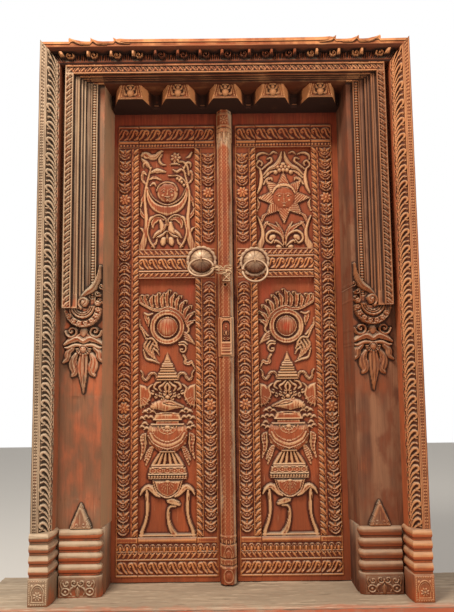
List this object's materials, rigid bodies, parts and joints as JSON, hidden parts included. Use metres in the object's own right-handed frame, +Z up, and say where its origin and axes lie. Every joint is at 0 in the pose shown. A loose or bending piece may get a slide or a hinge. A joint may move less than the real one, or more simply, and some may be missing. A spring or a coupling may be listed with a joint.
{
  "type": "carved double door",
  "caption": "Carved wooden double door in a double timber frame with moulded bases, bracketed lintel, ring pulls, a chain and a padlock.",
  "frame": {"origin": "on the underside of the threshold, on the centreline of the opening, in the plane of the fronts of the outer base blocks", "axes": "+Z up along the doorway's height, +Y into the building, +X to the right seen from the front"},
  "size_m": [1.96, 0.469, 2.375],
  "materials": {
    "threshold_wood": "worn, dusty",
    "frame_wood": "weathered, unpainted",
    "leaf_wood": "aged red-brown",
    "bronze": "worn, dull",
    "iron": "rusty"
  },
  "bodies": {
    "frame": {"threshold": "threshold_wood", "left_outer_jamb": "frame_wood", "right_outer_jamb": "frame_wood", "left_inner_jamb": "frame_wood", "right_inner_jamb": "frame_wood", "outer_lintel": "frame_wood", "inner_lintel": "frame_wood", "head_beam": "frame_wood", "left_peg": "frame_wood", "right_peg": "frame_wood"},
    "left_leaf": {"left_hinge_stile": "leaf_wood", "left_meeting_stile": "leaf_wood", "left_bottom_rail": "leaf_wood", "left_mid_rail": "leaf_wood", "left_top_rail": "leaf_wood", "left_lower_panel": "leaf_wood", "left_upper_panel": "leaf_wood", "meeting_post": "leaf_wood", "left_boss": "bronze", "left_eye": "iron"},
    "left_pull": {"left_ring": "bronze", "left_chain": "iron", "padlock": "iron", "shackle": "iron"},
    "right_leaf": {"right_hinge_stile": "leaf_wood", "right_meeting_stile": "leaf_wood", "right_bottom_rail": "leaf_wood", "right_mid_rail": "leaf_wood", "right_top_rail": "leaf_wood", "right_lower_panel": "leaf_wood", "right_upper_panel": "leaf_wood", "right_boss": "bronze", "right_eye": "iron"},
    "right_pull": {"right_ring": "bronze", "right_chain": "iron"}
  },
  "joints": [
    {"name": "left_leaf_hinge", "type": "hinge", "parent": "frame", "child": "left_leaf", "pos_m": [-0.53, 0.337, 0.12], "axis": [0, 0, 1], "range_deg": [0, 95]},
    {"name": "right_leaf_hinge", "type": "hinge", "parent": "frame", "child": "right_leaf", "pos_m": [0.53, 0.337, 0.12], "axis": [0, 0, -1], "range_deg": [0, 95]},
    {"name": "left_ring_swing", "type": "hinge", "parent": "left_leaf", "child": "left_pull", "pos_m": [-0.1125, 0.257, 1.483], "axis": [-1, 0, 0], "range_deg": [0, 55]},
    {"name": "right_ring_swing", "type": "hinge", "parent": "right_leaf", "child": "right_pull", "pos_m": [0.12, 0.257, 1.476], "axis": [-1, 0, 0], "range_deg": [0, 55]}
  ]
}
